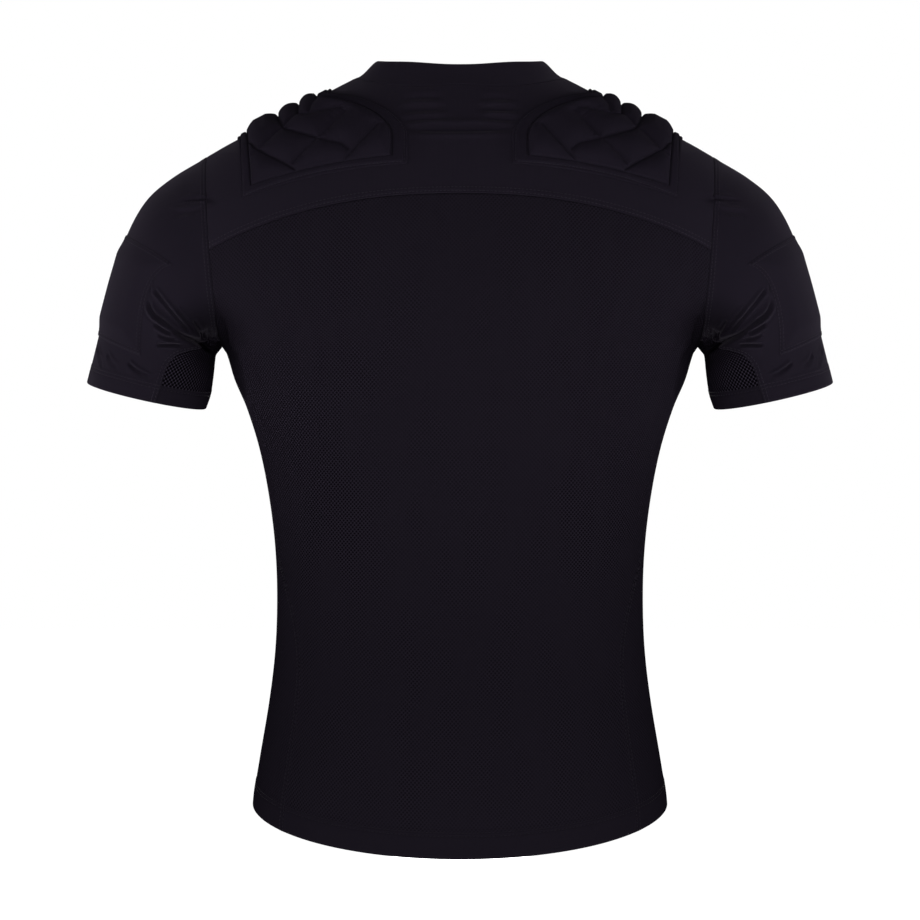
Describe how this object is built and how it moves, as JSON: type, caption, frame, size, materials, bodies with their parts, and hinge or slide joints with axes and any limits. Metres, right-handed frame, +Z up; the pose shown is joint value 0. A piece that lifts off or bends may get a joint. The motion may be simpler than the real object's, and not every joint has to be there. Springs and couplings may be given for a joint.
{
  "type": "rugby shoulder pads",
  "caption": "Short-sleeved stretch top, filled out as worn, with quilted foam pads over the shoulders, thinner pads on the upper arms and open mesh under the arms.",
  "frame": {"origin": "on the wearer's centre line, level with the base of the neck, where the wearer's shoulders hold the top", "axes": "+Z up, +Y the way the wearer faces, so the back faces -Y, and +X to the wearer's right"},
  "size_m": [0.6704, 0.2471, 0.7037],
  "materials": {
    "stretch_knit": "matt black stretch knit",
    "mesh_knit": "matt black fine mesh knit",
    "open_mesh": "matt black open mesh",
    "pad_cover": "matt black cover over quilted foam"
  },
  "bodies": {
    "root": {"collar": "stretch_knit", "back_yoke": "stretch_knit", "back_panel": "mesh_knit", "front_panel": "mesh_knit", "side_panel_left": "mesh_knit", "side_panel_right": "mesh_knit", "sleeve_left": "stretch_knit", "sleeve_right": "stretch_knit", "underarm_gusset_left": "open_mesh", "underarm_gusset_right": "open_mesh", "bicep_pad_left": "stretch_knit", "bicep_pad_right": "stretch_knit", "shoulder_pad_left": "pad_cover", "shoulder_pad_right": "pad_cover", "pad_border_left": "pad_cover", "pad_border_right": "pad_cover"}
  },
  "joints": []
}
